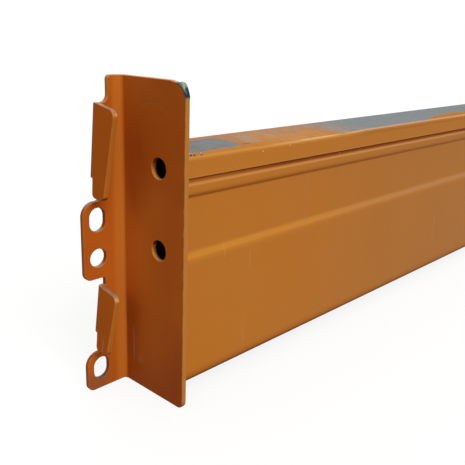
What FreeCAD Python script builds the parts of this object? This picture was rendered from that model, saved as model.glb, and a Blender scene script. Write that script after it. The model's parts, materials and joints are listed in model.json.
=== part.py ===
"""Pallet rack beam: a box beam of two interlocked channels, welded at each end to a folded connector
with two hooks.

Frame: +X along the beam, +Y towards the connectors' legs (the aisle side), +Z up. The origin is half-way
along the beam, in the middle of the connectors' depth, at the connectors' bottom edges.
"""
import FreeCAD, Part
import math
import os

Vec = FreeCAD.Vector
ALONG, ACROSS, UP = Vec(1, 0, 0), Vec(0, 1, 0), Vec(0, 0, 1)

# ---- the whole beam (mm)
clear_span = 2700.0         # between the outward faces of the two end plates
beam_height = 145.5
beam_width = 47.5
beam_lift = 13.0            # from the connector's bottom edge to the beam's underside
beam_setback = 6.0          # from the end plate's free edge to the beam's inner face

# ---- channel: one roll-formed sheet, used twice
channel_wall = 1.5
channel_bend = 1.5          # inside radius of every bend but those of the bead and the panel
lip_height = 13.7           # the turned-down edge that covers the other channel's tucked edge
tuck_clearance = 0.2        # between a lip and the tucked edge behind it
tuck_overlap = 8.5          # height of the tucked edge behind the lip
groove_height = 2.5         # open groove under the lip's edge, where the sheet steps out to the bead
bead_height = 6.8           # flush strip under the groove
bead_bend = 5.5             # outside radius of the bead's two bends
swage_depth = 2.0           # the web's recessed panel
swage_upper_rise = 2.8
swage_panel = 33.6
swage_lower_rise = 5.4
swage_lower_bend = 9.0      # outside radius of the two bends under the panel

# ---- connector: one folded plate at each end
connector_height = 200.0
connector_depth = 59.5      # free edge of the end plate to the leg's outer face
connector_gauge = 3.5
fold_radius = 2.5           # inside radius of the fold between end plate and leg
plate_top_corner = 8.0
plate_bottom_corner = 4.5
neck_reach = 9.7            # the leg's narrow top part
neck_corner = 2.5
neck_fillet = 4.5
tab_reach = 29.7            # the leg's two bolt tabs, from the end plate's outward face
tab_upper_corner = 9.0
tab_lower_corner = 4.8
tab_fillet = 3.0
tab_top = 26.0              # top edge of the lower tab
mid_tab_bottom = 76.4
relief_radius = 2.0         # in the notch above the lower hook

# ---- hooks, bent square from the leg's edge along slanted lines
hook_pitch = 100.0
hook_foot = 40.8            # height of the lower hook's foot, where its bend ends
hook_foot_reach = 18.2      # bend line's distance from the end plate at the foot
hook_slot = 2.2             # inside bend radius, and the open slot behind the hanging end
hook_drop = 11.7            # hanging end below the foot
hook_reach = 15.2           # free edge from the leg at the foot
hook_taper = 7.1            # degrees that the free edge leans out towards the top
hook_shoulder = 9.6         # degrees that the top edge falls towards the free edge
hook_top_corner = 5.0
hook_tip_corner = 3.2
upper_hook_slant = 4.5      # degrees between the bend line and the vertical
lower_hook_slant = 6.7
upper_hook_root = 43.8      # length of the bend
lower_hook_root = 30.6
foot_step = 1.8             # the leg's edge stands back by this below each foot

# ---- holes
plate_hole = 12.5
plate_hole_inset = 22.2     # from the end plate's free edge
plate_hole_low = 99.2
plate_hole_spacing = 50.0
lock_hole_reach = 19.4      # the leg's holes, from the end plate's outward face
lock_slot_width = 11.4
lock_slot_length = 15.0
lock_slot_height = 14.5     # centre of the lower slot
lock_hole = 11.8
lock_hole_height = 90.0

# ---- welds
weld_leg = 4.2


def unit(vector):
    """The same direction, one long."""
    return Vec(vector).normalize()


def rounded(corners):
    """Closed wire in the XY plane through (x, y, radius) corners, each rounded by its radius."""
    points = [Vec(x, y, 0) for x, y, _ in corners]
    trims = []
    for i, (_, _, radius) in enumerate(corners):
        here, before, after = points[i], points[i - 1], points[(i + 1) % len(points)]
        back, on = unit(before - here), unit(after - here)
        half = back.getAngle(on) / 2
        if radius == 0:
            trims.append((here, None, here))
            continue
        run = radius / math.tan(half)
        middle = here + unit(back + on) * (radius / math.sin(half) - radius)
        trims.append((here + back * run, middle, here + on * run))
    edges = []
    for i, (start, middle, end) in enumerate(trims):
        if middle:
            edges.append(Part.Arc(start, middle, end).toShape())
        following = trims[(i + 1) % len(trims)][0]
        if end.distanceToPoint(following) > 1e-6:
            edges.append(Part.makeLine(end, following))
    return Part.Wire(edges)


def placed(shape, origin, right, up):
    """The shape drawn in the XY plane, stood at origin with its X along right and its Y along up."""
    turned = shape.copy()
    turned.Placement = FreeCAD.Placement(origin, FreeCAD.Rotation(right, up, right.cross(up), "XYZ"))
    return turned


def slab(corners, thickness, origin, right, up):
    """A flat wall with this outline, growing by its thickness along right x up."""
    flat = Part.Face(rounded(corners)).extrude(Vec(0, 0, thickness))
    return placed(flat, origin, right, up)


def obround(width, length):
    """An upright slot's outline about the origin, or a circle where it is as long as wide."""
    radius, half_run = width / 2, (length - width) / 2
    if half_run == 0:
        return Part.Wire([Part.makeCircle(radius)])
    corners = [Vec(radius, -half_run, 0), Vec(radius, half_run, 0)]
    corners += [Vec(-radius, half_run, 0), Vec(-radius, -half_run, 0)]
    crown, sole = Vec(0, length / 2, 0), Vec(0, -length / 2, 0)
    return Part.Wire([
        Part.makeLine(corners[0], corners[1]),
        Part.Arc(corners[1], crown, corners[2]).toShape(),
        Part.makeLine(corners[2], corners[3]),
        Part.Arc(corners[3], sole, corners[0]).toShape(),
    ])


def punch(width, length, centre, right, up):
    """The cutter of a hole through a connector's wall, from a point of its inner face."""
    margin = connector_gauge
    cutter = Part.Face(obround(width, length)).extrude(Vec(0, 0, connector_gauge + 2 * margin))
    cutter.translate(Vec(0, 0, -margin))
    return placed(cutter, centre, right, up)


def quarter_bend(centre, axis, first, second, inner, gauge, length):
    """The quarter-round strip that joins two walls, from direction first to direction second."""
    middle = unit(first + second)
    outer = inner + gauge
    outside = Part.Arc(centre + first * outer, centre + middle * outer, centre + second * outer).toShape()
    inside = Part.Arc(centre + second * inner, centre + middle * inner, centre + first * inner).toShape()
    ends = [
        Part.makeLine(centre + second * outer, centre + second * inner),
        Part.makeLine(centre + first * inner, centre + first * outer),
    ]
    strip = Part.Face(Part.Wire([outside, ends[0], inside, ends[1]]))
    return strip.extrude(axis * length)


# ------------------------------------------------------------------ connector

plate_front = -connector_depth / 2                          # Y of the end plate's free edge
leg_face = connector_depth / 2 - connector_gauge            # Y of the leg's inner face


def hook_ways(slant):
    """A hook's two directions: up its bend line, and square to that line away from the end plate."""
    lean = math.radians(slant)
    return Vec(math.sin(lean), 0, math.cos(lean)), Vec(-math.cos(lean), 0, math.sin(lean))


def hook_line(foot_height, root, slant):
    """Ends of a hook's bend line as (reach, height): foot and top."""
    upward, _ = hook_ways(slant)
    top = (hook_foot_reach - root * upward.x, foot_height + root * upward.z)
    return (hook_foot_reach, foot_height), top


def end_plate():
    """The flat that the beam is welded to, with its two bolt holes."""
    flat = connector_depth - connector_gauge - fold_radius
    corners = [
        (0, 0, plate_bottom_corner),
        (flat, 0, 0),
        (flat, connector_height, 0),
        (0, connector_height, plate_top_corner),
    ]
    plate = slab(corners, connector_gauge, Vec(0, plate_front, 0), ACROSS, UP)
    for step in range(2):
        height = plate_hole_low + step * plate_hole_spacing
        centre = Vec(0, plate_front + plate_hole_inset, height)
        plate = plate.cut(punch(plate_hole, plate_hole, centre, ACROSS, UP))
    return plate


def leg():
    """The flat that lies on the upright: neck, two hook roots and two bolt tabs, with the lock holes."""
    upper_foot, upper_top = hook_line(hook_foot + hook_pitch, upper_hook_root, upper_hook_slant)
    lower_foot, lower_top = hook_line(hook_foot, lower_hook_root, lower_hook_slant)
    web_edge = hook_foot_reach - foot_step
    corners = [
        (fold_radius, 0, 0),
        (fold_radius, connector_height, 0),
        (neck_reach, connector_height, neck_corner),
        (neck_reach, upper_top[1], neck_fillet),
        (*upper_top, 0),
        (*upper_foot, 0),
        (web_edge, upper_foot[1], 0),
        (web_edge, tab_top + hook_pitch, tab_fillet),
        (tab_reach, tab_top + hook_pitch, tab_upper_corner),
        (tab_reach, mid_tab_bottom, tab_lower_corner),
        (lower_top[0], mid_tab_bottom, relief_radius),
        (*lower_top, 0),
        (*lower_foot, 0),
        (web_edge, lower_foot[1], 0),
        (web_edge, tab_top, tab_fillet),
        (tab_reach, tab_top, tab_upper_corner),
        (tab_reach, 0, tab_lower_corner),
    ]
    wall = slab(corners, connector_gauge, Vec(0, leg_face, 0), -ALONG, UP)
    cutters = [punch(lock_hole, lock_hole, Vec(-lock_hole_reach, leg_face, lock_hole_height), -ALONG, UP)]
    for step in range(2):
        centre = Vec(-lock_hole_reach, leg_face, lock_slot_height + step * hook_pitch)
        cutters.append(punch(lock_slot_width, lock_slot_length, centre, -ALONG, UP))
    return wall.cut(cutters)


def hook(foot_height, root, slant):
    """A hook: its bend off the leg's slanted edge, and its tapered blade with the hanging end."""
    upward, outward = hook_ways(slant)
    foot = Vec(-hook_foot_reach, leg_face, foot_height)
    centre = foot - ACROSS * hook_slot
    bend = quarter_bend(centre, upward, ACROSS, outward, hook_slot, connector_gauge, root)
    lean = math.tan(math.radians(hook_taper))
    fall = math.tan(math.radians(hook_shoulder))
    corner_height = (root - fall * (hook_reach - hook_slot)) / (1 + fall * lean)
    corners = [
        (hook_slot, -hook_drop, hook_tip_corner),
        (hook_reach - lean * hook_drop, -hook_drop, hook_tip_corner),
        (hook_reach + lean * corner_height, corner_height, hook_top_corner),
        (hook_slot, root, 0),
    ]
    inner_face = foot + outward * hook_slot
    blade = slab(corners, connector_gauge, inner_face, -ACROSS, upward)
    return bend.fuse(blade)


def connector():
    """One end's connector, with the end plate's outward face at X = 0 and the beam towards +X."""
    fold_centre = Vec(-fold_radius, leg_face - fold_radius, 0)
    fold = quarter_bend(fold_centre, UP, ACROSS, ALONG, fold_radius, connector_gauge, connector_height)
    upper_hook = hook(hook_foot + hook_pitch, upper_hook_root, upper_hook_slant)
    lower_hook = hook(hook_foot, lower_hook_root, lower_hook_slant)
    return end_plate().fuse([fold, leg(), upper_hook, lower_hook]).removeSplitter()


# ------------------------------------------------------------------ beam

channel_length = clear_span - 2 * connector_gauge
corner_radius = channel_bend + channel_wall
section_centre = Vec(0, plate_front + beam_setback + beam_width / 2, beam_lift + beam_height / 2)


def outside_line():
    """The channel's outside line as (across, up, radius) corners, from the tucked edge to the lip's end.

    The radius is the outside face's, and negative where the sheet bends back. The section's centre is the
    origin, and the web faces -Y.
    """
    half_width, half_height = beam_width / 2, beam_height / 2
    tucked = -half_width + channel_wall + tuck_clearance
    flush = -half_width
    recessed = -half_width + swage_depth
    lip_edge = half_height - lip_height
    shoulder = lip_edge - groove_height
    step = shoulder - bead_height
    panel_top = step - swage_upper_rise
    panel_bottom = panel_top - swage_panel
    return [
        (tucked, lip_edge + tuck_overlap, 0),
        (tucked, lip_edge, -channel_bend),
        (flush, shoulder, bead_bend),
        (flush, step, bead_bend),
        (recessed, panel_top, -channel_bend),
        (recessed, panel_bottom, -swage_lower_bend),
        (flush, panel_bottom - swage_lower_rise, swage_lower_bend),
        (flush, -half_height, corner_radius),
        (half_width, -half_height, corner_radius),
        (half_width, -half_height + lip_height, 0),
    ]


def sheet_section(line):
    """The closed outline of a bent sheet, as rounded corners, from its outside line."""
    points = [Vec(across, up, 0) for across, up, _ in line]
    directions = [unit(after - before) for before, after in zip(points, points[1:])]
    inward = [Vec(-way.y, way.x, 0) for way in directions]
    outside, inside = [], []
    for i, (point, (_, _, radius)) in enumerate(zip(points, line)):
        first, last = inward[max(i - 1, 0)], inward[min(i, len(inward) - 1)]
        shift = (first + last) * (channel_wall / (1 + first.dot(last)))
        inside_radius = abs(radius - channel_wall) if radius else 0
        outside.append((point.x, point.y, abs(radius)))
        inside.append((point.x + shift.x, point.y + shift.y, inside_radius))
    return outside + inside[::-1]


def along_beam(corners):
    """The section's corners extruded between the end plates, with the section's centre at Y = Z = 0."""
    return slab(corners, channel_length, Vec(-channel_length / 2, 0, 0), ACROSS, UP)


def both_ways(shape):
    """A shape on the section's centre and the same turned half round the beam, both in their places."""
    turned = shape.copy()
    turned.rotate(Vec(0, 0, 0), ALONG, 180)
    pair = [shape.copy(), turned]
    for one in pair:
        one.translate(section_centre)
    return pair


def beam_envelope():
    """The beam with its hollow filled, which the welds are shaped against."""
    filled = along_beam([(across, up, abs(radius)) for across, up, radius in outside_line()])
    lower, upper = both_ways(filled)
    return lower.fuse(upper)


# ------------------------------------------------------------------ welds

weld_depth = swage_depth + 0.5      # how far a bead's blank reaches into the beam before it is cut back
beam_front = section_centre.y - beam_width / 2
beam_rear = section_centre.y + beam_width / 2
beam_bottom = section_centre.z - beam_height / 2
beam_top = section_centre.z + beam_height / 2
plate_back = -clear_span / 2 + connector_gauge


def fillet_profile(surface, outward):
    """A fillet's triangle at a point of the beam's surface, standing on the end plate's back face."""
    inner = surface - outward * weld_depth
    points = [inner, surface + outward * weld_leg, surface + ALONG * weld_leg, inner + ALONG * weld_leg]
    return Part.Face(Part.makePolygon(points + points[:1]))


def side_run(face_y, outward):
    """The bead down one side of the beam, wrapped round its top and bottom corners."""
    low, high = beam_bottom + corner_radius, beam_top - corner_radius
    axis_y = face_y - outward.y * corner_radius
    start = Vec(plate_back, face_y, low)
    straight = fillet_profile(start, outward).extrude(UP * (high - low))
    turn = 90 * outward.y
    wraps = [
        fillet_profile(Vec(plate_back, face_y, high), outward).revolve(Vec(0, axis_y, high), ALONG, turn),
        fillet_profile(start, outward).revolve(Vec(0, axis_y, low), ALONG, -turn),
    ]
    return straight.fuse(wraps)


def bottom_run():
    """The bead along the beam's underside, between the two side runs."""
    first, last = beam_front + corner_radius, beam_rear - corner_radius
    return fillet_profile(Vec(plate_back, first, beam_bottom), -UP).extrude(ACROSS * (last - first))


def weld_runs(envelope):
    """The three beads at the left end, by name. The top has none, so that a load lies flat on it."""
    blanks = {
        "front_weld": side_run(beam_front, -ACROSS),
        "rear_weld": side_run(beam_rear, ACROSS),
        "bottom_weld": bottom_run(),
    }
    return {name: blank.cut(envelope).removeSplitter() for name, blank in blanks.items()}


# ------------------------------------------------------------------ assembly

def build():
    """Every node by name, in the beam's frame."""
    inner_channel, outer_channel = both_ways(along_beam(sheet_section(outside_line())))
    nodes = {"inner_channel": inner_channel, "outer_channel": outer_channel}
    left = {"connector": connector()}
    left["connector"].translate(Vec(-clear_span / 2, 0, 0))
    left.update(weld_runs(beam_envelope()))
    for name, shape in left.items():
        nodes["left_" + name] = shape
        nodes["right_" + name] = shape.mirror(Vec(0, 0, 0), ALONG)
    return nodes


os.makedirs("parts", exist_ok=True)
for name, shape in build().items():
    solids = shape.Solids
    print(f"{name}: {len(solids)} solid(s), {shape.Volume / 1000:.2f} cm3, valid {shape.isValid()}")
    (solids[0] if len(solids) == 1 else shape).exportStep(f"parts/{name}.step")
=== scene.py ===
import json
import math
import random

import bmesh
import bpy
from mathutils import Matrix, Vector


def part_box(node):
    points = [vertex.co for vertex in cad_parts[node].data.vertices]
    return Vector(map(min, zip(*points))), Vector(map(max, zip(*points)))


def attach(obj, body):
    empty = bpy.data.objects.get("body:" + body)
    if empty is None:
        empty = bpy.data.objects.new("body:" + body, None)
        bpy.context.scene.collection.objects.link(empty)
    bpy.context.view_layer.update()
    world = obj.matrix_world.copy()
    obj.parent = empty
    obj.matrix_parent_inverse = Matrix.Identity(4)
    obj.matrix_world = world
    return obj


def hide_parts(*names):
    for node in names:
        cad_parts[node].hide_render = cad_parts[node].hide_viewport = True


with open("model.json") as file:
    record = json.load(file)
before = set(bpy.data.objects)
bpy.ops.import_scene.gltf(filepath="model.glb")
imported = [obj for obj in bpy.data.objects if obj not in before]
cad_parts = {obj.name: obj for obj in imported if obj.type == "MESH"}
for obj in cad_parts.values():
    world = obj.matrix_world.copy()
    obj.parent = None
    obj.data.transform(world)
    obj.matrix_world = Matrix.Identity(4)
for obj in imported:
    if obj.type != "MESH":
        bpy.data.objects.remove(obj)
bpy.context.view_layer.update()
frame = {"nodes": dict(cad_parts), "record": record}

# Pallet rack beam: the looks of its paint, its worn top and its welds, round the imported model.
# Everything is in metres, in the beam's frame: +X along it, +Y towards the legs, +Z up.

MM = 0.001

# ---- sizes that the frame doesn't give
hole_spacing = 50 * MM                              # between the end plate's two bolt holes
lip_depth = 13.7 * MM                               # of the lip that covers the seam
groove_width = 2.5 * MM
slope_top = 99.1 * MM                               # the web slopes out again below the panel
slope_bottom = 95.2 * MM
bend_radius = 3.0 * MM
plate_corner = 8.0 * MM
weld_leg = 4.2 * MM
weld_sink = 2.5 * MM                                # the bead fills the web's recess this deep
edge_rounding = 0.6 * MM

# ---- sizes, read from the frame
mounts = {mount["name"]: Vector(mount["pos_m"]) for mount in frame["record"]["mounts"]}
plate_bolts = mounts["left_plate_bolts"]
leg_face = mounts["left_leg_face"].y
connector_low, connector_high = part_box("left_connector")
inner_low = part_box("inner_channel")[0]
outer_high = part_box("outer_channel")[1]
beam_front, beam_bottom = inner_low.y, inner_low.z
beam_rear, beam_top = outer_high.y, outer_high.z
beam_width = beam_rear - beam_front
lip_bottom = beam_top - lip_depth
groove_bottom = lip_bottom - groove_width
plate_face = plate_bolts.x                          # the left end plate's outward face
plate_back = connector_high.x
plate_edge = connector_low.y                        # the end plate's free edge
plate_top = connector_high.z
plate_holes = [plate_bolts.z + hole_spacing / 2, plate_bolts.z - hole_spacing / 2]


# ------------------------------------------------------------------ camera

def aim_camera():
    """A three-quarter view of the left end, with the beam running away to the right."""
    place = Vector((-1.5884, -0.28815, 0.2261))
    heading, pitch, roll = (math.radians(angle) for angle in (47.2, 17.28, 2.05))
    forward = Vector((
        math.sin(heading) * math.cos(pitch),
        math.cos(heading) * math.cos(pitch),
        -math.sin(pitch),
    ))
    level = Vector((math.cos(heading), -math.sin(heading), 0))
    upright = level.cross(forward)
    right = level * math.cos(roll) + upright * math.sin(roll)
    up = upright * math.cos(roll) - level * math.sin(roll)
    camera = bpy.data.objects.new("camera", bpy.data.cameras.new("camera"))
    camera.data.lens = 49.92
    camera.data.sensor_width = 36
    camera.data.clip_start = 0.01
    turn = Matrix((right, up, -forward)).transposed().to_4x4()
    camera.matrix_world = Matrix.Translation(place) @ turn
    bpy.context.scene.collection.objects.link(camera)
    bpy.context.scene.camera = camera


aim_camera()


# ------------------------------------------------------------------ shader tools

class Value:
    """A socket that can be written in sums: each operator adds its Math node."""

    def __init__(self, nodes, socket):
        self.nodes = nodes
        self.socket = socket

    def math(self, operation, *others):
        inputs = dict(enumerate((self, *others)))
        return self.nodes.add("ShaderNodeMath", {"operation": operation}, inputs)

    def __add__(self, other):
        return self.math("ADD", other)

    def __sub__(self, other):
        return self.math("SUBTRACT", other)

    def __rsub__(self, other):
        return self * -1 + other

    def __mul__(self, other):
        return self.math("MULTIPLY", other)

    __radd__ = __add__
    __rmul__ = __mul__


class Nodes:
    """A node tree, with short ways to fill it."""

    def __init__(self, owner):
        owner.use_nodes = True
        self.tree = owner.node_tree
        self.tree.nodes.clear()

    def add(self, kind, settings=None, inputs=None, output=0):
        """Adds a node: first its settings, then its sockets' values or links."""
        node = self.tree.nodes.new(kind)
        for name, value in (settings or {}).items():
            if name == "stops":
                self.set_stops(node.color_ramp, value)
            else:
                setattr(node, name, value)
        for name, value in (inputs or {}).items():
            if isinstance(value, Value):
                self.tree.links.new(value.socket, node.inputs[name])
            else:
                node.inputs[name].default_value = value
        return Value(self, node.outputs[output] if node.outputs else None)

    def set_stops(self, ramp, stops):
        """Fills a colour ramp with (place, grey) stops."""
        while len(ramp.elements) < len(stops):
            ramp.elements.new(0.5)
        for element, (place, grey) in zip(ramp.elements, stops):
            element.position = place
            element.color = (grey, grey, grey, 1)

    def point(self):
        return self.add("ShaderNodeTexCoord", None, None, "Object")

    def parts_of(self, vector):
        """A vector's X, Y and Z."""
        split = self.add("ShaderNodeSeparateXYZ", None, {0: vector})
        return [Value(self, socket) for socket in split.socket.node.outputs]

    def place(self):
        """The point's X, Y and Z on the piece."""
        return self.parts_of(self.point())

    def facing(self):
        """The surface's own X, Y and Z direction, on the piece."""
        return self.parts_of(self.add("ShaderNodeTexCoord", None, None, "Normal"))

    def noise(self, scale, detail=2, roughness=0.5, stretch=(1, 1, 1), shift=(0, 0, 0), point=None):
        """Cloudy values about 0.5; stretch draws them out along the axes that it is small on."""
        point = self.add("ShaderNodeMapping", None, {
            "Vector": point or self.point(), "Location": shift, "Scale": stretch,
        })
        return self.add("ShaderNodeTexNoise", None, {
            "Vector": point, "Scale": scale, "Detail": detail, "Roughness": roughness,
        })

    def rise(self, value, low, high):
        """0 at low, 1 at high, smooth between them; low may be the larger of the two."""
        return self.add("ShaderNodeMapRange", {"interpolation_type": "SMOOTHSTEP"}, {
            "Value": value, "From Min": low, "From Max": high,
        })

    def between(self, value, low, high, soft):
        """1 from low to high, with ends that are soft by this much each way."""
        above_low = self.rise(value, low - soft, low + soft)
        return above_low * (1 - self.rise(value, high - soft, high + soft))

    def largest(self, first, *others):
        """The largest of several masks."""
        for other in others:
            first = first.math("MAXIMUM", other)
        return first

    def distance(self, first, second):
        """Length of the way to a place, from its two offsets."""
        return (first * first + second * second).math("SQRT")

    def mix(self, mask, first, second):
        """The first colour where the mask is 0, the second where it is 1."""
        inputs = {0: mask, 6: first, 7: second}         # 6 and 7 are the node's colour sockets
        return self.add("ShaderNodeMix", {"data_type": "RGBA"}, inputs, 2)

    def layered(self, base, layers):
        """Lays shades over a colour in turn, each as strongly as its mask."""
        for mask, shade in layers:
            base = self.mix(mask, base, shade)
        return base


def colour(red, green, blue):
    return (red, green, blue, 1)


def coated(nodes, base, roughness, metallic, height, relief, specular):
    """Ends a material: its colour, gloss and metal, and a bump with its relief in metres."""
    bump = nodes.add("ShaderNodeBump", None, {"Strength": 1.0, "Distance": relief, "Height": height})
    surface = nodes.add("ShaderNodeBsdfPrincipled", None, {
        "Base Color": base, "Roughness": roughness, "Metallic": metallic,
        "Specular IOR Level": specular, "Normal": bump,
    })
    nodes.add("ShaderNodeOutputMaterial", None, {"Surface": surface})


# ------------------------------------------------------------------ shades

# steel, dirt and painted shade
bare_steel = colour(0.155, 0.195, 0.215)
warm_steel = colour(0.18, 0.18, 0.17)
dark_steel = colour(0.07, 0.1, 0.115)
brown_steel = colour(0.315, 0.19, 0.118)
far_steel = colour(0.2, 0.235, 0.25)
pale_streak = colour(0.33, 0.25, 0.2)
chipped_steel = colour(0.018, 0.04, 0.055)
fresh_steel = colour(0.22, 0.3, 0.23)
primer = colour(0.6, 0.5, 0.38)
# dirt in the top's crevice and along the plate's free edge, and painted shade in the groove and the
# leg's holes
dirt_and_shade = colour(0.19, 0.037, 0.009)

# the beam's orange
near_orange = colour(0.48, 0.16, 0.021)
far_orange = colour(0.39, 0.15, 0.033)
cloudy_orange = colour(0.44, 0.175, 0.04)
rolled_orange = colour(0.5, 0.18, 0.02)
lip_orange = colour(0.49, 0.18, 0.026)
# painted highlight on the lip's top bend and lower edge
bend_highlight_orange = colour(0.56, 0.25, 0.055)
# painted highlight on a polished stretch of the top bend
polished_highlight_orange = colour(0.75, 0.42, 0.19)
# painted highlight on the bead's shoulder
bead_highlight_orange = colour(0.58, 0.29, 0.1)
# painted shade on the step under the bead
under_bead_shade_orange = colour(0.4, 0.105, 0.002)
# painted highlight on the slope under the panel, greyer far along as a painted reflection
near_slope_highlight = colour(0.56, 0.235, 0.03)
far_slope_highlight = colour(0.42, 0.21, 0.085)
# painted shade on the front of the lower bend
low_shade_orange = colour(0.29, 0.075, 0.005)
low_bend_shade_brown = colour(0.12, 0.026, 0.002)
scuffed_orange = colour(0.62, 0.36, 0.17)
rear_orange = colour(0.46, 0.13, 0.004)
rear_bend_orange = colour(0.33, 0.075, 0.0)
dusty_orange = colour(0.34, 0.13, 0.022)
# painted highlights along the top's front rim
far_rim_highlight_tan = colour(0.62, 0.34, 0.19)
worn_rim_highlight_tan = colour(0.75, 0.5, 0.22)

# the connectors' orange: the beam's paint, painted redder for the light that plate and leg throw on each
# other
deep_orange = colour(0.415, 0.084, 0.007)
plain_orange = colour(0.45, 0.1, 0.0095)
washed_orange = colour(0.52, 0.125, 0.013)
# painted light on the plate where the hooks leave it unshaded
stained_orange = colour(0.36, 0.064, 0.006)
lit_plate_orange = colour(0.6, 0.135, 0.013)
# painted shadow by the fold and painted shade towards the plate's foot
foot_brown = colour(0.26, 0.045, 0.008)
# painted highlight along the fold
fold_highlight_orange = colour(0.53, 0.16, 0.02)
# painted light and painted shade inside the plate's holes
lit_hole_orange = colour(0.56, 0.26, 0.058)
hole_shade_brown = colour(0.15, 0.055, 0.012)
hook_orange = colour(0.43, 0.09, 0.002)
hook_edge_orange = colour(0.38, 0.135, 0.018)
# painted highlight on the hooks' top corners
hook_corner_highlight_tan = colour(0.6, 0.38, 0.18)
# painted shade in the hooks' bends
bend_shade_brown = colour(0.16, 0.025, 0.003)
neck_orange = colour(0.5, 0.22, 0.06)
# thin paint on the edges, with a painted highlight along the roundings
edge_orange = colour(0.47, 0.19, 0.038)
# painted shade on the tabs' outer edge faces, with a painted highlight along their front rounding
tab_edge_shade_brown = colour(0.17, 0.03, 0.003)
tab_edge_highlight_orange = colour(0.42, 0.115, 0.02)
tab_foot_brown = colour(0.28, 0.083, 0.026)
# painted shade on the edges that face down
underside_shade_brown = colour(0.1, 0.022, 0.003)
# painted highlight on the plate's top rim
top_rim_highlight_tan = colour(0.62, 0.3, 0.11)
shoulder_steel = colour(0.272, 0.217, 0.142)
low_shoulder_steel = colour(0.06, 0.06, 0.055)
scratched_orange = colour(0.45, 0.22, 0.12)

# the welds
ripple_orange = colour(0.4, 0.09, 0.008)
crest_orange = colour(0.5, 0.15, 0.015)
soot = colour(0.09, 0.05, 0.03)
oxide = colour(0.09, 0.06, 0.05)
flux = colour(0.62, 0.5, 0.38)

paint_specular = 0.03                               # old enamel hardly mirrors
weld_specular = 0.3


# ------------------------------------------------------------------ finish of the beam

def line_scratch(nodes, across, along, at, low, high, width, fade):
    """A fine straight scratch: where it lies across, and from low to high along."""
    on_line = nodes.between(across, at - width / 2, at + width / 2, width / 2)
    return on_line * nodes.between(along, low, high, fade)


# how far forward the rubbed strip reaches, as a share of the beam's width, at shares of its length
rubbed_reach = [
    (0.0, 0), (0.0535, 0), (0.0555, 0.36), (0.059, 0.55), (0.0605, 1.3), (0.0632, 1.3),
    (0.0643, 0.86), (0.067, 0.93), (0.069, 1.3), (0.108, 1.3), (0.111, 0.98), (0.122, 0.78),
    (0.136, 0.72), (0.15, 0.74), (0.186, 0.78), (0.2, 0.05), (0.3, 0.05), (0.315, 0.9),
    (0.37, 0.8), (0.385, 0.1), (0.62, 0.1), (0.65, 0.85), (0.99, 0.75),
]


def pallet_wear(nodes, x, y, z):
    """How worn the top is, how streaked, the grain of the rubbing, and where the top is."""
    slid = x - y * 0.43                                 # pallets slide on at a slant
    slid_point = nodes.add("ShaderNodeCombineXYZ", None, {0: slid, 1: y, 2: z})
    grain = nodes.noise(1, 4, 0.65, (150, 75, 1), (0, 0, 0), slid_point)
    wobble = nodes.noise(1, 3, 0.6, (90, 60, 1), (3, 7, 0), slid_point)
    stray = (wobble - 0.5) * (14 * MM)
    ragged_x, ragged_slid, ragged_y = x + stray, slid + stray * 0.4, y + stray * 0.6

    # beside the end plate
    near_end = nodes.between(ragged_x, plate_face, -1283.5 * MM, 3 * MM)
    near_end = near_end * nodes.between(ragged_y, -19 * MM, 14 * MM, 4 * MM)
    near_end = near_end * nodes.rise(ragged_x - ragged_y * 1.7, -1259 * MM, -1267 * MM)

    # single streaks
    first_streak = nodes.between(ragged_slid, -1274 * MM, -1260.5 * MM, 3 * MM)
    first_streak = first_streak * nodes.between(ragged_y, -15 * MM, 13 * MM, 4 * MM)
    second_streak = nodes.between(x + stray * 0.4, -1245.5 * MM, -1240 * MM, 2 * MM)
    second_streak = second_streak * nodes.between(ragged_y, -5 * MM, 15 * MM, 3 * MM)
    streaks = nodes.largest(first_streak * 0.54, second_streak * 0.6)

    # smudges round the streaks
    rear_strip = nodes.between(x, plate_face, -1196 * MM, 8 * MM)
    rear_strip = rear_strip * nodes.rise(ragged_y, -2 * MM, 10 * MM)
    past_patch = nodes.between(ragged_slid, -1286 * MM, -1266 * MM, 5 * MM)
    past_patch = past_patch * nodes.rise(ragged_y, -6 * MM, 2 * MM)
    past_streaks = nodes.between(ragged_slid, -1243 * MM, -1200 * MM, 5 * MM)
    past_streaks = past_streaks * nodes.rise(ragged_y, -12 * MM, 0)
    smudges = nodes.largest(rear_strip * 0.38, past_patch * 0.42, past_streaks * 0.4)

    # the long rubbed strip
    share_along = (x - y * 0.2 + stray * 0.5 - plate_face) * (1 / (-2 * plate_face))
    reach = nodes.add("ShaderNodeValToRGB", {"stops": rubbed_reach}, {0: share_along})
    from_rear = (beam_rear - y) * (1 / beam_width)
    strip = nodes.rise(reach - from_rear, -0.07, 0.07)
    strip = strip * (0.62 + nodes.rise(x - y * 0.3, -1185 * MM, -1160 * MM) * 0.38)

    # a rim of sound paint along the rear, and the flat of the top
    rim_width = 5.2 * MM - nodes.rise(x, -1185 * MM, -1120 * MM) * (3.3 * MM)
    rear_rim = 1 - nodes.rise(y + stray * 0.15 + rim_width - beam_rear, 0, 1.2 * MM)
    level = nodes.rise(nodes.facing()[2], 0.5, 0.8)
    level = level * nodes.rise(z, beam_top - 2.2 * MM, beam_top - 1.2 * MM)
    wear = nodes.largest(near_end, smudges, strip) * rear_rim * level
    return wear, streaks * level, grain, level * rear_rim


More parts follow.
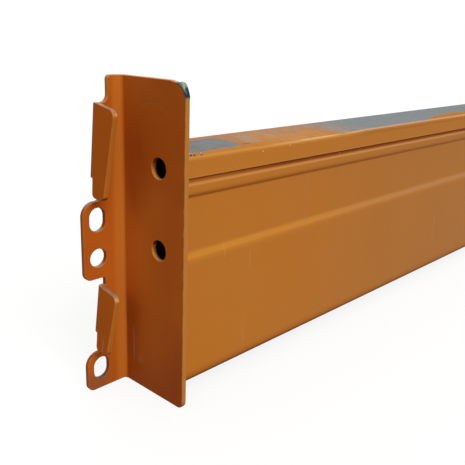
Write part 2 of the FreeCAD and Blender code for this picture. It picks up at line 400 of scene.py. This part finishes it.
def lip_layers(nodes, x, y, z):
    """The lip is paler, with painted highlights along its top bend and lower edge, polished in one
    stretch, and painted shade in the groove under it.
    """
    on_lip = nodes.rise(z, lip_bottom - 0.3 * MM, lip_bottom + 0.3 * MM)
    # painted highlight along the top bend, fading far along, and along the lip's lower edge
    top_bend = nodes.rise(z, beam_top - 4.2 * MM, beam_top - 1.6 * MM)
    top_bend = top_bend * (1 - nodes.rise(x, -1185 * MM, -1130 * MM) * 0.85)
    lip_foot = nodes.between(z, lip_bottom, lip_bottom + 0.7 * MM, 0.3 * MM)
    dusty_bend = nodes.rise(x, -1182 * MM, -1150 * MM) * nodes.rise(y, 0, -1 * MM)
    dusty_bend = dusty_bend * nodes.between(z, beam_top - 4.5 * MM, beam_top - 1.5 * MM, 0.5 * MM)
    # a polished stretch of the top bend, with a painted highlight on it
    polished_highlight = nodes.between(x, -1262 * MM, -1198 * MM, 16 * MM)
    polished_highlight = polished_highlight * nodes.rise(z, beam_top - 3 * MM, beam_top - 1 * MM)
    # painted shade in the groove under the lip, weaker near the end plate
    in_groove = nodes.between(z, groove_bottom + 0.1 * MM, lip_bottom + 0.2 * MM, 0.5 * MM)
    groove_shade = 0.62 + nodes.rise(x, -1330 * MM, -1250 * MM) * 0.28
    return [
        (on_lip * 0.4, lip_orange),
        (nodes.largest(top_bend * 0.65, lip_foot * 0.5), bend_highlight_orange),
        (dusty_bend * 0.55, dusty_orange),
        (polished_highlight * 0.4, polished_highlight_orange),
        (in_groove * groove_shade, dirt_and_shade),
    ]


def web_layers(nodes, z, along):
    """Painted highlights on the bead's shoulder and the slope under the panel, and painted shade under
    the bead and on the lower bend.
    """
    # painted highlight on the bead's upper shoulder
    bead_shoulder = nodes.between(z, groove_bottom - 2 * MM, groove_bottom - 0.7 * MM, 0.5 * MM)
    # painted shade on the downward step under the bead
    under_bead = nodes.between(z, groove_bottom - 9.2 * MM, groove_bottom - 7.4 * MM, 0.6 * MM)
    # painted highlight on the slope under the panel, greyer far along as a painted reflection
    on_slope = nodes.between(z, slope_bottom, slope_top, 1 * MM)
    slope_highlight_colour = nodes.mix(along, near_slope_highlight, far_slope_highlight)
    # painted shade on the front of the lower bend, darkest at the bottom
    facing_front = nodes.rise(nodes.facing()[1], -0.1, -0.35)
    low_shade = nodes.rise(z, beam_bottom + 8.5 * MM, beam_bottom + 2 * MM) * facing_front
    low_bend = nodes.rise(z, beam_bottom + 4.2 * MM, beam_bottom + 1.5 * MM) * facing_front
    return [
        (bead_shoulder * 0.6, bead_highlight_orange),
        (on_slope * 0.6, slope_highlight_colour),
        (under_bead * 0.8, under_bead_shade_orange),
        (low_shade * 0.55, low_shade_orange),
        (low_bend * 0.85, low_bend_shade_brown),
    ]


def web_scuffs(nodes, x, z):
    """Scuffs on the web, where other beams touched it."""
    marks = nodes.largest(
        line_scratch(nodes, x, z, -1309.3 * MM, 90 * MM, 99 * MM, 0.7 * MM, 2 * MM),
        line_scratch(nodes, x, z, -1285 * MM, 78 * MM, 89 * MM, 0.6 * MM, 2 * MM),
        line_scratch(nodes, x, z, -1018 * MM, 40 * MM, 66 * MM, 0.8 * MM, 4 * MM),
    )
    long_scuff = nodes.noise(1, 3, 0.6, (60, 300, 14), (5, 0, 2))
    return nodes.largest(marks * 0.22, nodes.rise(long_scuff, 0.69, 0.76) * 0.12)


def rubbed_steel(nodes, x, grain):
    """Steel under the worn paint: cold and warm patches, with dark and brown sliding marks."""
    cold = nodes.rise(nodes.noise(1, 4, 0.65, (110, 170, 1), (2, 5, 0)), 0.36, 0.62)
    slid_marks = nodes.noise(1, 4, 0.7, (70, 230, 1), (8, 1, 0))
    tanned = nodes.between(x, -1230 * MM, -1158 * MM, 30 * MM) * nodes.rise(grain, 0.25, 0.55)
    return nodes.layered(warm_steel, [
        (cold, bare_steel),
        (nodes.rise(slid_marks, 0.5, 0.72) * 0.8, dark_steel),
        (nodes.rise(slid_marks, 0.44, 0.3) * 0.45, brown_steel),
        (nodes.rise(x, -1200 * MM, -1130 * MM) * 0.5, far_steel),
        (tanned * 0.75, pale_streak),
    ])


def rim_layers(nodes, x, y, z):
    """The top's front rim: painted highlights along it, on the stretches worn by pallets and at its far
    end.
    """
    # painted highlights along the front rim, at its far end and on the stretches worn by pallets
    in_front = nodes.rise(y, 0, -1 * MM)
    far_rim = nodes.rise(x, -1182 * MM, -1150 * MM) * in_front
    far_rim = far_rim * nodes.between(z, beam_top - 1.2 * MM, beam_top - 0.3 * MM, 0.2 * MM)
    rim_line = nodes.between(z, beam_top - 1.3 * MM, beam_top - 0.8 * MM, 0.2 * MM) * in_front
    worn_lengths = nodes.largest(
        nodes.between(x, -1236 * MM, -1190 * MM, 6 * MM),
        nodes.between(x, -1184 * MM, -1160 * MM, 6 * MM),
    )
    return [(far_rim * 0.6, far_rim_highlight_tan), (rim_line * worn_lengths * 0.55, worn_rim_highlight_tan)]


def lip_chips(nodes, x, y, z, level):
    """Chips along the lip's edges, down to primer grey."""
    specks = nodes.rise(nodes.noise(210, 2, 0.5), 0.735, 0.76)
    near_seam = nodes.between(z, lip_bottom - 1 * MM, beam_top - 2 * MM, 1 * MM)
    to_chip = nodes.distance((x + 1276.9 * MM) * 0.7, z - 154.1 * MM)
    one_chip = (1 - nodes.rise(to_chip, 0.35 * MM, 0.7 * MM)) * nodes.rise(y, 0, -1 * MM)
    return nodes.largest(specks * nodes.largest(near_seam * 0.9, level * 0.5), one_chip * 0.6)


def make_beam_paint():
    """Semi-gloss orange on rolled sheet, rubbed to bare steel on top by pallets."""
    material = bpy.data.materials.new("beam_paint")
    nodes = Nodes(material)
    x, y, z = nodes.place()
    clouds = nodes.rise(nodes.noise(16, 3, 0.6), 0.3, 0.7)
    rolled = nodes.rise(nodes.noise(1, 2, 0.5, (3, 420, 420)), 0.35, 0.65)
    along = nodes.rise(x, -1340 * MM, -990 * MM)
    wear, streaks, grain, level = pallet_wear(nodes, x, y, z)
    smudged = nodes.rise(wear + (grain - 0.5) * 1.1, 0.12, 0.5)
    rubbed = nodes.rise(wear + (grain - 0.5) * 0.9, 0.5, 0.85)
    rear_face = nodes.rise(y, beam_rear - 5 * MM, beam_rear - 3.6 * MM)
    rear_bend = rear_face * nodes.rise(z, beam_top - 4 * MM, beam_top - 2.5 * MM)
    crevice = nodes.between(x + y * 0.4, -1294.5 * MM, -1286.5 * MM, 1 * MM) * level
    crevice = crevice * nodes.between(y + grain * (2 * MM), -15.4 * MM, -13 * MM, 0.8 * MM)
    chips = lip_chips(nodes, x, y, z, level)

    paint = nodes.mix(along, near_orange, far_orange)
    paint = nodes.layered(paint, [
        (clouds * 0.3, cloudy_orange),
        (rolled * 0.08, rolled_orange),
        *lip_layers(nodes, x, y, z),
        *web_layers(nodes, z, along),
        (web_scuffs(nodes, x, z), scuffed_orange),
        (rear_face * 0.8, rear_orange),
        (rear_bend * 0.85, rear_bend_orange),
        (level * (0.35 + grain * 0.5), dusty_orange),
        (smudged * 0.8, brown_steel),
        (rubbed * 0.92, rubbed_steel(nodes, x, grain)),
        (streaks * nodes.rise(grain, 0.25, 0.6) * 1.35, pale_streak),
        *rim_layers(nodes, x, y, z),
        (crevice * 0.6, dirt_and_shade),
        (chips, primer),
    ])
    orange_peel = nodes.noise(520, 2, 0.5)
    roughness = 0.42 + clouds * 0.05 + rolled * 0.04 + level * 0.3
    height = orange_peel * (1 - rubbed) * 0.5 + grain * rubbed * 0.3 - chips * 0.8
    coated(nodes, paint, roughness, 0.0, height, 0.05 * MM, paint_specular)
    return material


# ------------------------------------------------------------------ finish of the connectors

class Spot:
    """Where a point lies on the folded plate, and which way it faces."""

    def __init__(self, nodes):
        self.x, self.y, self.z = nodes.place()
        sideways, self.forward, self.up = nodes.facing()
        self.outward = sideways * self.x.math("SIGN")   # 1 on what faces away from the beam
        self.on_face = nodes.rise(sideways.math("ABSOLUTE"), 0.9, 0.98)
        self.beyond_face = self.x.math("ABSOLUTE") + plate_face
        self.ragged = nodes.noise(150, 3, 0.6)
        self.rounded = nodes.add("ShaderNodeAttribute", {"attribute_name": "edge"}, None, "Fac")
        self.free_edge = 1 - nodes.rise(self.y, plate_edge + 0.2 * MM, plate_edge + 0.9 * MM)
        in_leg = nodes.rise(self.y, leg_face + 0.1 * MM, leg_face + 0.5 * MM)
        self.in_leg = in_leg * nodes.rise(self.outward, 0.3, 0.6)
        on_hook = nodes.rise(self.y, leg_face - 1.2 * MM, leg_face - 2.2 * MM)
        self.on_hook = on_hook * nodes.rise(self.beyond_face, 2 * MM, 4 * MM)


def plate_layers(nodes, spot):
    """Uneven paint on the end plate, with painted light where the hooks leave it unshaded, painted
    shadow by the fold and towards the foot, and a painted highlight on the fold.
    """
    washed = nodes.rise(nodes.noise(14, 2, 0.5, (1, 1, 0.45), (0, 3, 0)), 0.45, 0.65)
    stained = nodes.rise(nodes.noise(17, 3, 0.55, (1, 1, 0.4), (4, 1, 2)), 0.5, 0.68)
    # painted light on the plate where the hooks leave it unshaded
    warm = nodes.largest(
        nodes.between(spot.z, 62 * MM, 112 * MM, 12 * MM),
        nodes.rise(spot.z, 155 * MM, 185 * MM) * 0.6,
    )
    warm = warm * nodes.rise(spot.y, -8 * MM, 12 * MM)
    warm = warm * (1 - nodes.rise(spot.y, 22 * MM, 26 * MM)) * spot.on_face
    # painted shadow by the fold low down, and painted shade towards the foot
    fold_shadow = nodes.rise(spot.y, 4 * MM, 20 * MM) * nodes.between(spot.z, 14 * MM, 60 * MM, 9 * MM)
    low_plate_shade = nodes.rise(spot.z, 70 * MM, 5 * MM)
    # painted highlight along the fold
    by_fold = nodes.between(spot.beyond_face, -0.5 * MM, 7 * MM, 2.5 * MM)
    by_fold = by_fold * nodes.rise(spot.y, leg_face - 3 * MM, leg_face - 1 * MM)
    return [
        (washed * 0.7, washed_orange),
        (stained * 0.7, stained_orange),
        (warm * 0.55, lit_plate_orange),
        (nodes.largest(fold_shadow * 0.55, low_plate_shade * 0.3) * spot.on_face, foot_brown),
        (by_fold * 0.75, fold_highlight_orange),
    ]


def hole_layers(nodes, spot):
    """Inside the plate's holes, painted light on the upward walls and painted shade deeper in; painted
    shade in the leg's holes.
    """
    # painted light on the holes' upward walls, painted shade deeper in
    deep = nodes.rise(spot.beyond_face, -1.1 * MM, -2.9 * MM)
    hole_light_and_shade = nodes.mix(deep, lit_hole_orange, hole_shade_brown)
    layers = []
    for height in plate_holes:
        to_hole = nodes.distance(spot.y - plate_bolts.y, spot.z - height)
        in_hole = (1 - nodes.rise(to_hole, 6.4 * MM, 6.9 * MM)) * (1 - spot.on_face)
        in_hole = in_hole * (1 - nodes.rise(spot.beyond_face, 0, 1 * MM))
        layers.append((in_hole * nodes.rise(spot.up, -0.35, 0.5) * 0.85, hole_light_and_shade))
    # painted shade in the leg's holes
    in_leg_hole = spot.in_leg * nodes.between(spot.beyond_face, 12.4 * MM, 19 * MM, 0.6 * MM)
    return layers + [(in_leg_hole * 0.75, dirt_and_shade)]


def hook_layers(nodes, spot):
    """The hooks stand out of the leg: browner faces, pale cut edges, a painted highlight on the top
    corners, painted shade in the bend.
    """
    cut_edge = spot.on_hook * nodes.rise(spot.forward, -0.5, -0.85)
    # painted highlight on the hooks' top corners, ragged
    worn_corner_highlight = spot.on_hook * nodes.rise(spot.forward, -0.35, -0.7)
    worn_corner_highlight = worn_corner_highlight * nodes.rise(spot.up, 0.1, 0.5) * nodes.rise(spot.ragged, 0.3, 0.6)
    # painted shade on the bends' faces that turn away to the back
    bend_back = nodes.rise(spot.forward, 0.12, 0.4) * nodes.rise(spot.outward, 0.3, 0.6)
    bend_back = bend_back * nodes.rise(spot.beyond_face, 8 * MM, 12 * MM)
    neck = spot.in_leg * nodes.between(spot.beyond_face, 8.5 * MM, 11 * MM, 0.5 * MM)
    return [
        (spot.on_hook * spot.on_face * 0.8, hook_orange),
        (cut_edge * 0.6, hook_edge_orange),
        (worn_corner_highlight * 0.7, hook_corner_highlight_tan),
        (bend_back * 0.75, bend_shade_brown),
        (neck * 0.7, neck_orange),
    ]


def edge_layers(nodes, spot, thin):
    """Sheared edges: thin paint with painted highlights, painted shade and highlight on the tabs' outer
    edges, a dull foot on the tabs, painted shade on the undersides and a painted highlight on the top
    rim.
    """
    # painted shade on the tabs' outer edge faces, with a painted highlight along their front rounding
    tab_edge = spot.in_leg * nodes.rise(spot.beyond_face, 25 * MM, 26.5 * MM)
    tab_front = nodes.rise(spot.y, leg_face + 3 * MM, leg_face + 1 * MM)
    tab_foot = nodes.rise(spot.z, 17 * MM, 8 * MM) * nodes.rise(spot.beyond_face, 8 * MM, 20 * MM)
    # painted shade on the edges that face down
    under_edge = nodes.rise(spot.up, -0.15, -0.6) * (1 - spot.on_face)
    # painted highlight on the plate's top rim, ragged
    top_rim = nodes.rise(spot.up, 0.25, 0.7) * nodes.rise(spot.z, plate_top - 2 * MM, plate_top - 1 * MM)
    rough_line = nodes.between(spot.y, plate_edge + 0.1 * MM, plate_edge + 0.9 * MM, 0.2 * MM)
    rough_line = rough_line * nodes.rise(spot.outward, 0.2, 0.6) * nodes.rise(spot.ragged, 0.35, 0.6)
    return [
        (thin, edge_orange),
        (tab_edge * 0.9, nodes.mix(tab_front, tab_edge_shade_brown, tab_edge_highlight_orange)),
        (tab_foot * (1 - tab_edge) * 0.8, tab_foot_brown),
        (under_edge * 0.8, underside_shade_brown),
        (top_rim * nodes.rise(spot.ragged, 0.25, 0.5) * 0.6, top_rim_highlight_tan),
        (rough_line * 0.5, dirt_and_shade),
    ]


def plate_scratches(nodes, spot):
    """Faint scratches on the end plate."""
    upright_one = line_scratch(nodes, spot.y, spot.z, 17.2 * MM, 17 * MM, 40 * MM, 0.9 * MM, 4 * MM)
    haze = nodes.between(spot.z, 17 * MM, 23 * MM, 2.5 * MM) * nodes.rise(spot.ragged, 0.35, 0.65)
    haze = haze * nodes.between(spot.y, 6 * MM, 14 * MM, 3 * MM)
    bow = nodes.distance(spot.y + 2 * MM, spot.z - 168 * MM)
    curved_one = nodes.between(bow, 17.6 * MM, 18.1 * MM, 0.4 * MM)
    curved_one = curved_one * nodes.rise(spot.z, 178 * MM, 182 * MM)
    hairs = nodes.rise(nodes.noise(1, 3, 0.65, (10, 240, 30), (2, 1, 3)), 0.68, 0.76)
    return nodes.largest(upright_one * 0.5, haze * 0.22, curved_one * 0.25, hairs * 0.2) * spot.on_face


def make_connector_paint(name, corner_chip):
    """Orange on the folded plate, painted redder for the light that plate and leg throw on each other,
    thin with painted highlights on its edges and chipped at its corners.
    """
    material = bpy.data.materials.new(name)
    nodes = Nodes(material)
    spot = Spot(nodes)
    clouds = nodes.rise(nodes.noise(22, 3, 0.6), 0.3, 0.7)
    # thin paint on the edges, with a painted highlight along the roundings
    thin_lit_rounding = spot.rounded * 0.35 * nodes.rise(spot.ragged, 0.3, 0.6)
    thin = nodes.largest(thin_lit_rounding, spot.free_edge * 0.85)

    # bare steel on the hooks' shoulders and on the floors of the punched holes
    shoulders = nodes.rise(spot.beyond_face, 3 * MM, 6 * MM) * nodes.rise(spot.up, 0.55, 0.85)
    shoulders = shoulders * nodes.rise(spot.ragged, 0.28, 0.48)
    floor_steel = nodes.mix(nodes.rise(spot.z, 60 * MM, 40 * MM), shoulder_steel, low_shoulder_steel)

    # the knocked corner, and nicks along the edges
    across, above = spot.y - (plate_edge + plate_corner), spot.z - (plate_top - plate_corner)
    to_corner = nodes.distance(across, above)
    stray = spot.ragged - 0.5
    in_corner = nodes.rise(above - across + stray * (5 * MM), 6.5 * MM, 8 * MM)
    in_corner = in_corner * (1 - nodes.rise(spot.y, plate_edge + 9 * MM, plate_edge + 10 * MM))
    rim = to_corner + stray * (1.4 * MM)
    knocked = nodes.rise(rim, plate_corner - 1.2 * MM, plate_corner - 0.8 * MM)
    knocked = knocked * in_corner * corner_chip
    torn_rim = to_corner + stray * (1.6 * MM)
    torn = nodes.between(torn_rim, plate_corner - 1.6 * MM, plate_corner - 1 * MM, 0.2 * MM)
    torn = torn * in_corner * corner_chip
    nicks = nodes.rise(nodes.noise(190, 2, 0.5, (1, 1, 1), (7, 2, 5)), 0.7, 0.73)
    nicks = nicks * nodes.largest(spot.rounded, spot.free_edge)
    bare = nodes.largest(knocked, nicks * 0.8)
    fresh = nodes.rise(nodes.noise(260, 3, 0.6) + (spot.z - 195.5 * MM) * 70, 0.4, 0.62)

    paint = nodes.mix(clouds, deep_orange, plain_orange)
    paint = nodes.layered(paint, [
        *plate_layers(nodes, spot),
        *hole_layers(nodes, spot),
        *hook_layers(nodes, spot),
        *edge_layers(nodes, spot, thin),
        (shoulders * 0.8, floor_steel),
        (bare, nodes.mix(fresh, chipped_steel, fresh_steel)),
        (torn * 0.85, chipped_steel),
        (plate_scratches(nodes, spot), scratched_orange),
    ])
    orange_peel = nodes.noise(480, 2, 0.5)
    roughness = 0.4 + clouds * 0.06 + thin * 0.05
    metallic = nodes.largest(bare, shoulders * 0.5) * 0.2
    height = orange_peel * 0.5 + spot.ragged * 0.2 - bare * 1.5
    coated(nodes, paint, roughness, metallic, height, 0.06 * MM, paint_specular)
    return material


# ------------------------------------------------------------------ finish of the welds

def make_weld_paint():
    """Paint over a rippled bead, cloudy darker and paler, with patches of soot."""
    material = bpy.data.materials.new("weld_paint")
    nodes = Nodes(material)
    clouds = nodes.rise(nodes.noise(260, 3, 0.6), 0.35, 0.65)
    sooty = nodes.rise(nodes.noise(120, 2, 0.6, (1, 1, 1), (4, 0, 1)), 0.6, 0.72)
    paint = nodes.layered(ripple_orange, [(clouds, crest_orange), (sooty * 0.6, soot)])
    coated(nodes, paint, 0.45 + clouds * 0.1, sooty * 0.1, clouds, 0.08 * MM, weld_specular)
    return material


def make_spatter_finish():
    """Weld spatter: dark oxide with pale crumbs of flux."""
    material = bpy.data.materials.new("weld_spatter")
    nodes = Nodes(material)
    crumbs = nodes.rise(nodes.noise(430, 2, 0.6), 0.45, 0.6)
    shade = nodes.mix(crumbs, oxide, flux)
    coated(nodes, shade, 0.6 - crumbs * 0.1, (1 - crumbs) * 0.3, crumbs, 0.1 * MM, weld_specular)
    return material


beam_paint = make_beam_paint()
weld_paint = make_weld_paint()
spatter_finish = make_spatter_finish()
connector_paints = {
    "left": make_connector_paint("left_connector_paint", 1.0),
    "right": make_connector_paint("right_connector_paint", 0.0),
}

for channel in ("inner_channel", "outer_channel"):
    for slot in frame["nodes"][channel].material_slots:
        slot.material = beam_paint


# ------------------------------------------------------------------ pieces

def finished_piece(name, bm, material, node=None):
    """Turns a bmesh into a piece of the beam, in its finish, standing for its CAD node."""
    mesh = bpy.data.meshes.new(name)
    bm.to_mesh(mesh)
    bm.free()
    mesh.materials.append(material)
    piece = bpy.data.objects.new(name, mesh)
    bpy.context.scene.collection.objects.link(piece)
    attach(piece, "root")
    if node:
        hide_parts(node)
    return piece


def ease_edges(bm):
    """Rounds every sharp edge a little, and marks the middle of each rounding."""
    bmesh.ops.remove_doubles(bm, verts=bm.verts, dist=0.15 * MM)
    flat, sharp = math.radians(0.5), math.radians(35)
    bmesh.ops.dissolve_limit(bm, angle_limit=flat, verts=bm.verts, edges=bm.edges)
    sharp_edges = [edge for edge in bm.edges if edge.is_manifold and edge.calc_face_angle() > sharp]
    made = bmesh.ops.bevel(
        bm, geom=sharp_edges, offset=edge_rounding, offset_type="OFFSET", affect="EDGES", segments=3,
        profile=0.5, material=-1, clamp_overlap=False, loop_slide=False,
    )
    rounding = set(made["faces"])
    mark = bm.loops.layers.float.new("edge")
    for face in rounding:
        for loop in face.loops:
            loop[mark] = float(all(other in rounding for other in loop.vert.link_faces))
    for face in bm.faces:
        face.smooth = True


# how far the knocked corner is pushed out, in millimetres, at each turn about the corner's centre
knocked_shape = [
    (-14, 0), (0, 0.2), (12, -0.15), (26, -0.25), (39, 0), (50, 0.4), (61, 0.45),
    (72, -0.1), (87, -0.75), (100, -0.75), (112, -0.45), (121, 0), (130, 0),
]
knocked_core = 5 * MM                               # nearer to the corner's centre nothing moved
knocked_foot = -3 * MM                              # nor did anything lower than this from it


def push_at(turn):
    """How far the plate's edge is pushed out at a turn about the corner's centre; None past it."""
    for (first, push), (second, next_push) in zip(knocked_shape, knocked_shape[1:]):
        if first <= turn < second and turn > knocked_shape[0][0]:
            return (push + (next_push - push) * (turn - first) / (second - first)) * MM
    return None


def knock_corner(bm):
    """Dents the end plate's top outer corner, where it was struck."""
    upright_cuts = [((0, place * MM, 0), (0, 1, 0)) for place in (-15, -17, -18.5, -20)]
    level_cut = ((0, 0, 190 * MM), (0, 0, 1))
    for place, across in [*upright_cuts, level_cut]:
        everything = bm.verts[:] + bm.edges[:] + bm.faces[:]
        bmesh.ops.bisect_plane(bm, geom=everything, plane_co=place, plane_no=across, dist=0.001 * MM)
    for vert in bm.verts:
        sideways = plate_edge + plate_corner - vert.co.y
        above = vert.co.z - (plate_top - plate_corner)
        turn = math.atan2(above, sideways)
        push = push_at(math.degrees(turn))
        if push is not None and math.hypot(sideways, above) > knocked_core and above > knocked_foot:
            vert.co.y -= push * math.cos(turn)
            vert.co.z += push * math.sin(turn)


def dress_connector(side):
    """One folded connector, with rolled-over edges as the press leaves them."""
    node = side + "_connector"
    bm = bmesh.new()
    bm.from_mesh(frame["nodes"][node].data)
    for face in bm.faces:
        face.material_index = 0
    ease_edges(bm)
    if side == "left":
        knock_corner(bm)
    paint = connector_paints[side]
    piece = finished_piece(side + "_folded_connector", bm, paint, node)
    shading = piece.modifiers.new("flat_faces", "WEIGHTED_NORMAL")
    shading.keep_sharp = True


# a convex fillet's outline from its corner, as shares of its leg; the root is sunk into the beam
bead_outline = [(0, 1), (0.34, 0.82), (0.62, 0.62), (0.82, 0.34), (1, 0)]
ripple = 0.8 * MM                                   # half the length of one ripple
corner_steps = 6


def bead_profile(bm, root, outward):
    """A bead's outline at a corner point."""
    along = Vector((1, 0, 0))
    points = [(run * weld_leg, rise * weld_leg) for run, rise in bead_outline]
    points = [(0, -weld_sink), *points, (weld_leg, -weld_sink)]
    corners = [bm.verts.new(root + along * run + outward * rise) for run, rise in points]
    return [bm.edges.new(pair) for pair in zip(corners, corners[1:] + corners[:1])]


def lay_bead(bm, ring, root, steps, rng):
    """Draws the profile on, one ripple to a step; a step is a move, or a turn about a point."""
    bmesh.ops.edgenet_fill(bm, edges=ring)
    swell = 1.0
    for move in steps:
        made = bmesh.ops.extrude_edge_only(bm, edges=ring)["geom"]
        corners = [item for item in made if isinstance(item, bmesh.types.BMVert)]
        edges = [item for item in made if isinstance(item, bmesh.types.BMEdge)]
        ring = [edge for edge in edges if all(vert in corners for vert in edge.verts)]
        bmesh.ops.transform(bm, matrix=move, verts=corners)
        root = move @ root
        new_swell = (0.93 if swell > 1 else 1.05) + rng.uniform(-0.02, 0.02)
        ratio = new_swell / swell
        bmesh.ops.scale(bm, vec=(ratio,) * 3, space=Matrix.Translation(-root), verts=corners)
        swell = new_swell
    bmesh.ops.edgenet_fill(bm, edges=ring)


def moves_along(direction, length):
    """Equal moves that add up to the length."""
    count = round(length / ripple)
    return [Matrix.Translation(direction * (length / count))] * count


def turns_about(centre, angle):
    """Small turns about an axis along the beam."""
    turn = Matrix.Rotation(angle / corner_steps, 4, "X")
    return [Matrix.Translation(centre) @ turn @ Matrix.Translation(-centre)] * corner_steps


def side_bead(outward_y, rng):
    """The bead up one side of the beam, wrapped round its bottom and top corners."""
    axis_y = (beam_front + bend_radius) if outward_y < 0 else (beam_rear - bend_radius)
    low = Vector((plate_back, axis_y, beam_bottom + bend_radius))
    high = Vector((plate_back, axis_y, beam_top - bend_radius))
    start = Vector((plate_back, axis_y, beam_bottom))
    turn = math.radians(90) * outward_y
    up_the_side = moves_along(Vector((0, 0, 1)), high.z - low.z)
    bm = bmesh.new()
    ring = bead_profile(bm, start, Vector((0, 0, -1)))
    lay_bead(bm, ring, start, turns_about(low, turn) + up_the_side + turns_about(high, turn), rng)
    return bm


def bottom_bead(rng):
    """The bead along the beam's underside, between the two side beads."""
    start = Vector((plate_back, beam_front + bend_radius, beam_bottom))
    bm = bmesh.new()
    ring = bead_profile(bm, start, Vector((0, 0, -1)))
    lay_bead(bm, ring, start, moves_along(Vector((0, 1, 0)), beam_width - 2 * bend_radius), rng)
    return bm


def weld_end(side, seed):
    """The three beads at one end."""
    rng = random.Random(seed)
    beads = {
        "front_weld": side_bead(-1, rng),
        "rear_weld": side_bead(1, rng),
        "bottom_weld": bottom_bead(rng),
    }
    for name, bm in beads.items():
        if side == "right":
            bmesh.ops.scale(bm, vec=(-1, 1, 1), verts=bm.verts)
        bmesh.ops.recalc_face_normals(bm, faces=bm.faces)
        for face in bm.faces:
            face.smooth = len(face.verts) == 4
        node = side + "_" + name
        finished_piece(node + "_bead", bm, weld_paint, node)


def spatter(side, seed):
    """Crumbs of spatter where the front bead ends on the beam's top corner."""
    rng = random.Random(seed)
    mirror = 1 if side == "left" else -1
    crumbs = 22
    bm = bmesh.new()
    for _ in range(crumbs):
        run = rng.triangular(0.6, 20, 4) * MM
        back = rng.triangular(0.3, 7, 1.6) * MM
        drop = max(0, bend_radius - back)
        height = beam_top - bend_radius + math.sqrt(bend_radius ** 2 - drop ** 2)
        near_bead = run < 7 * MM
        size = rng.uniform(0.4, 0.95) * MM * (1.3 if near_bead else 1)
        along = mirror * (plate_back + weld_leg * 0.3 + run)
        place = Matrix.Translation((along, beam_front + back, height))
        turn = Matrix.Rotation(rng.uniform(0, 3), 4, "Z")
        squashed = Matrix.Diagonal((size * rng.uniform(1, 1.6), size, size * 0.55, 1))
        bmesh.ops.create_icosphere(bm, subdivisions=2, radius=1, matrix=place @ turn @ squashed)
    for face in bm.faces:
        face.smooth = True
    finished_piece(side + "_spatter", bm, spatter_finish)


for side, seed in (("left", 11), ("right", 23)):
    dress_connector(side)
    weld_end(side, seed)
    spatter(side, seed + 1)


# ------------------------------------------------------------------ floor and light

white = colour(1, 1, 1)
floor_grey = colour(0.33, 0.33, 0.325)
floor_glow = 1.66
glow_share = 0.5                                    # how much of the glow the eye sees
floor_reach = 60                                    # metres each way


def seen_directly(nodes):
    """1 for rays that see a surface as a background: straight, mirrored or through glass."""
    straight = nodes.add("ShaderNodeLightPath", None, None, "Is Camera Ray")
    outputs = straight.socket.node.outputs
    mirrored = Value(nodes, outputs["Is Glossy Ray"])
    through = Value(nodes, outputs["Is Transmission Ray"])
    return nodes.largest(straight, mirrored, through)


def lay_floor():
    """A plain pale floor that keeps the beam's shadow."""
    bm = bmesh.new()
    bmesh.ops.create_grid(bm, x_segments=1, y_segments=1, size=floor_reach)
    mesh = bpy.data.meshes.new("floor")
    bm.to_mesh(mesh)
    bm.free()
    material = bpy.data.materials.new("pale_floor")
    nodes = Nodes(material)
    matt = nodes.add("ShaderNodeBsdfDiffuse", None, {"Color": floor_grey})
    glow = nodes.add("ShaderNodeEmission", None, {"Color": white, "Strength": floor_glow})
    share = seen_directly(nodes) * glow_share
    mixed = nodes.add("ShaderNodeMixShader", None, {0: share, 1: matt, 2: glow})
    nodes.add("ShaderNodeOutputMaterial", None, {"Surface": mixed})
    mesh.materials.append(material)
    floor = bpy.data.objects.new("floor", mesh)
    bpy.context.scene.collection.objects.link(floor)


def lamp(name, towards, strength, spread):
    """A wide, soft sun that shines from a direction."""
    light = bpy.data.lights.new(name, "SUN")
    light.energy = strength
    light.angle = math.radians(spread)
    sun = bpy.data.objects.new(name, light)
    sun.rotation_mode = "QUATERNION"
    sun.rotation_quaternion = Vector(towards).to_track_quat("Z", "Y")
    bpy.context.scene.collection.objects.link(sun)


def light_studio():
    """Three soft suns, and a dim white room that looks bright white itself."""
    lamp("key", (-0.2, -0.75, 0.65), strength=2.5, spread=40)
    lamp("overhead", (0.1, 0.1, 1), strength=0.8, spread=60)
    lamp("fill", (0.5, 0.8, 0.4), strength=0.8, spread=60)
    world = bpy.data.worlds.new("studio")
    bpy.context.scene.world = world
    nodes = Nodes(world)
    room = nodes.add("ShaderNodeBackground", None, {"Color": white, "Strength": 0.3})
    background = nodes.add("ShaderNodeBackground", None, {"Color": white, "Strength": 1.0})
    mixed = nodes.add("ShaderNodeMixShader", None, {0: seen_directly(nodes), 1: room, 2: background})
    nodes.add("ShaderNodeOutputWorld", None, {"Surface": mixed})


lay_floor()
light_studio()
bpy.context.scene.view_settings.view_transform = "Standard"
